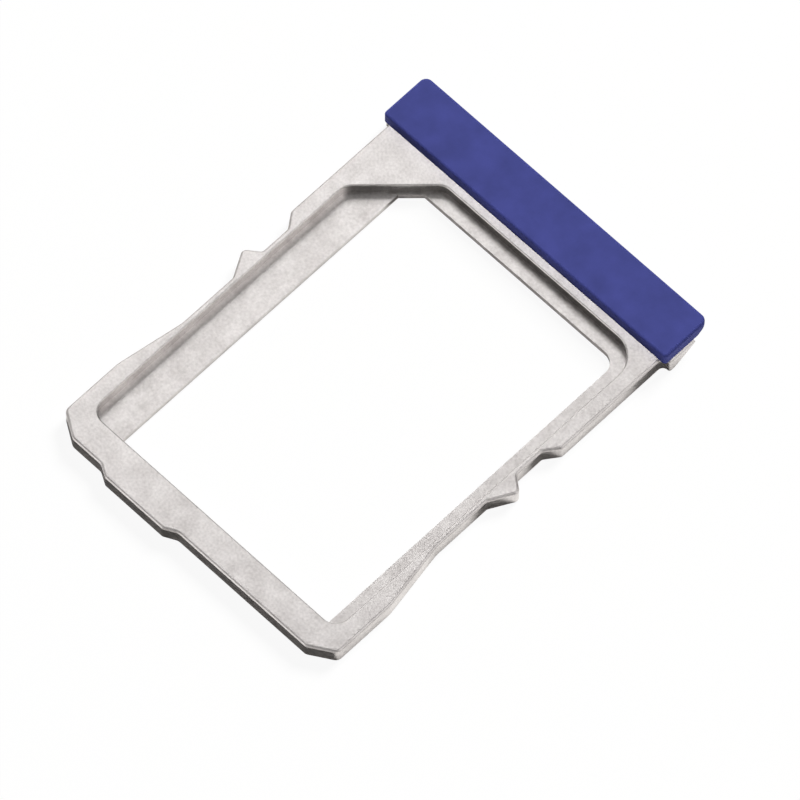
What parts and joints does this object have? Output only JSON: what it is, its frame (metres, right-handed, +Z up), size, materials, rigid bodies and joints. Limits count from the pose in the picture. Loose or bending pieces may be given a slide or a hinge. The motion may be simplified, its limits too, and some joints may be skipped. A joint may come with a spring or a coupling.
{
  "type": "sim card tray",
  "caption": "Thin metal frame that carries a micro card in a stepped pocket with a cut corner, with detent bumps on its rails and a blue slab on its wedge head.",
  "frame": {"origin": "below the middle of the tray's box, on its flat underside", "axes": "+Y along the tray, from the leading edge to the cap; +X along the cap, away from the pocket's cut corner; +Z up, out of the pocket"},
  "size_m": [0.0142, 0.0192, 0.0012],
  "materials": {
    "tray_frame": "fine bead-blasted, matt",
    "end_cap": "matt, blue-violet"
  },
  "bodies": {
    "root": {"tray_frame": "tray_frame", "end_cap": "end_cap"}
  },
  "joints": []
}
